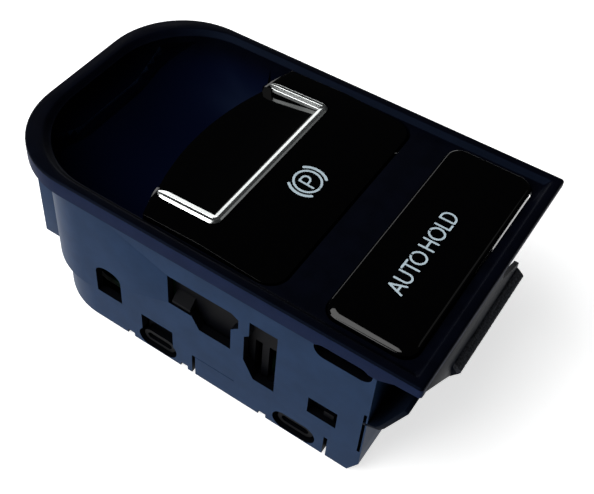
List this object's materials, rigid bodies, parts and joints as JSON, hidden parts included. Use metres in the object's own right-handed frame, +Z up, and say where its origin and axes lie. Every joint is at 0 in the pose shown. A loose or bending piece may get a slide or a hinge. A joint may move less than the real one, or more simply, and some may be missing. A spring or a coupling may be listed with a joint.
{
  "type": "electric parking brake switch",
  "caption": "Centre console switch block with a finger well, a pull-and-push parking brake rocker, a hold button and a snap-in housing.",
  "frame": {"origin": "middle of the flat base, below the middle of the whole unit", "axes": "+X along the bezel towards the hold button, +Y across it towards the far side, +Z up out of the bezel's face"},
  "size_m": [0.1016, 0.06, 0.0404],
  "materials": {
    "housing_black": "finely grained moulded plastic",
    "inner_black": "plain moulded plastic",
    "rocker_gloss": "piano black",
    "button_gloss": "piano black",
    "bright_trim": "satin chrome plating",
    "pin_steel": "ground",
    "plunger_white": "natural plastic",
    "spring_steel": "drawn wire",
    "clear_guide": "clear polished",
    "led_body": "moulded",
    "silicone": "smooth silicone",
    "board_green": "lacquered laminate",
    "chip_epoxy": "moulded epoxy",
    "connector_black": "plain moulded plastic",
    "contact_tin": "tinned",
    "felt": "pressed felt"
  },
  "bodies": {
    "unit": {"housing": "housing_black", "switch_carrier": "inner_black", "bottom_cover": "inner_black", "pivot_pin_front": "pin_steel", "pivot_pin_back": "pin_steel", "push_spring_front": "spring_steel", "push_spring_back": "spring_steel", "pull_spring_front": "spring_steel", "pull_spring_back": "spring_steel", "hold_spring_front": "spring_steel", "hold_spring_back": "spring_steel", "parking_light_guide": "clear_guide", "hold_light_guide": "clear_guide", "parking_led": "led_body", "hold_led_front": "led_body", "hold_led_back": "led_body", "switch_mat": "silicone", "circuit_board": "board_green", "control_chip": "chip_epoxy", "pin_header": "connector_black", "felt_strip": "felt", "connector_pin_1": "contact_tin", "connector_pin_2": "contact_tin", "connector_pin_3": "contact_tin", "connector_pin_4": "contact_tin", "connector_pin_5": "contact_tin", "connector_pin_6": "contact_tin"},
    "rocker": {"parking_rocker": "rocker_gloss", "chrome_trim": "bright_trim"},
    "push_plunger": {"push_plunger": "plunger_white"},
    "pull_plunger": {"pull_plunger": "plunger_white"},
    "hold_button": {"hold_button": "button_gloss"}
  },
  "joints": [
    {"name": "rocker_hinge", "type": "hinge", "parent": "unit", "child": "rocker", "pos_m": [0.0092, 0, 0.033], "axis": [0, 1, 0], "range_deg": [-4, 7], "stiffness_Nm_per_rad": 0.8},
    {"name": "push_plunger_slide", "type": "slide", "parent": "unit", "child": "push_plunger", "axis": [0, 0, 1], "range_m": [-0.0008, 0.0013], "deforming": ["push_spring_front", "push_spring_back"]},
    {"name": "pull_plunger_slide", "type": "slide", "parent": "unit", "child": "pull_plunger", "axis": [0, 0, 1], "range_m": [-0.0009, 0.0006], "deforming": ["pull_spring_front", "pull_spring_back"]},
    {"name": "hold_slide", "type": "slide", "parent": "unit", "child": "hold_button", "axis": [0, 0, -1], "range_m": [0, 0.0012], "stiffness_N_per_m": 1500, "deforming": ["hold_spring_front", "hold_spring_back"]}
  ],
  "couplings": [
    {"joint": "push_plunger_slide", "follows": "rocker_hinge", "m_per_rad": 0.0096},
    {"joint": "pull_plunger_slide", "follows": "rocker_hinge", "m_per_rad": -0.006}
  ]
}
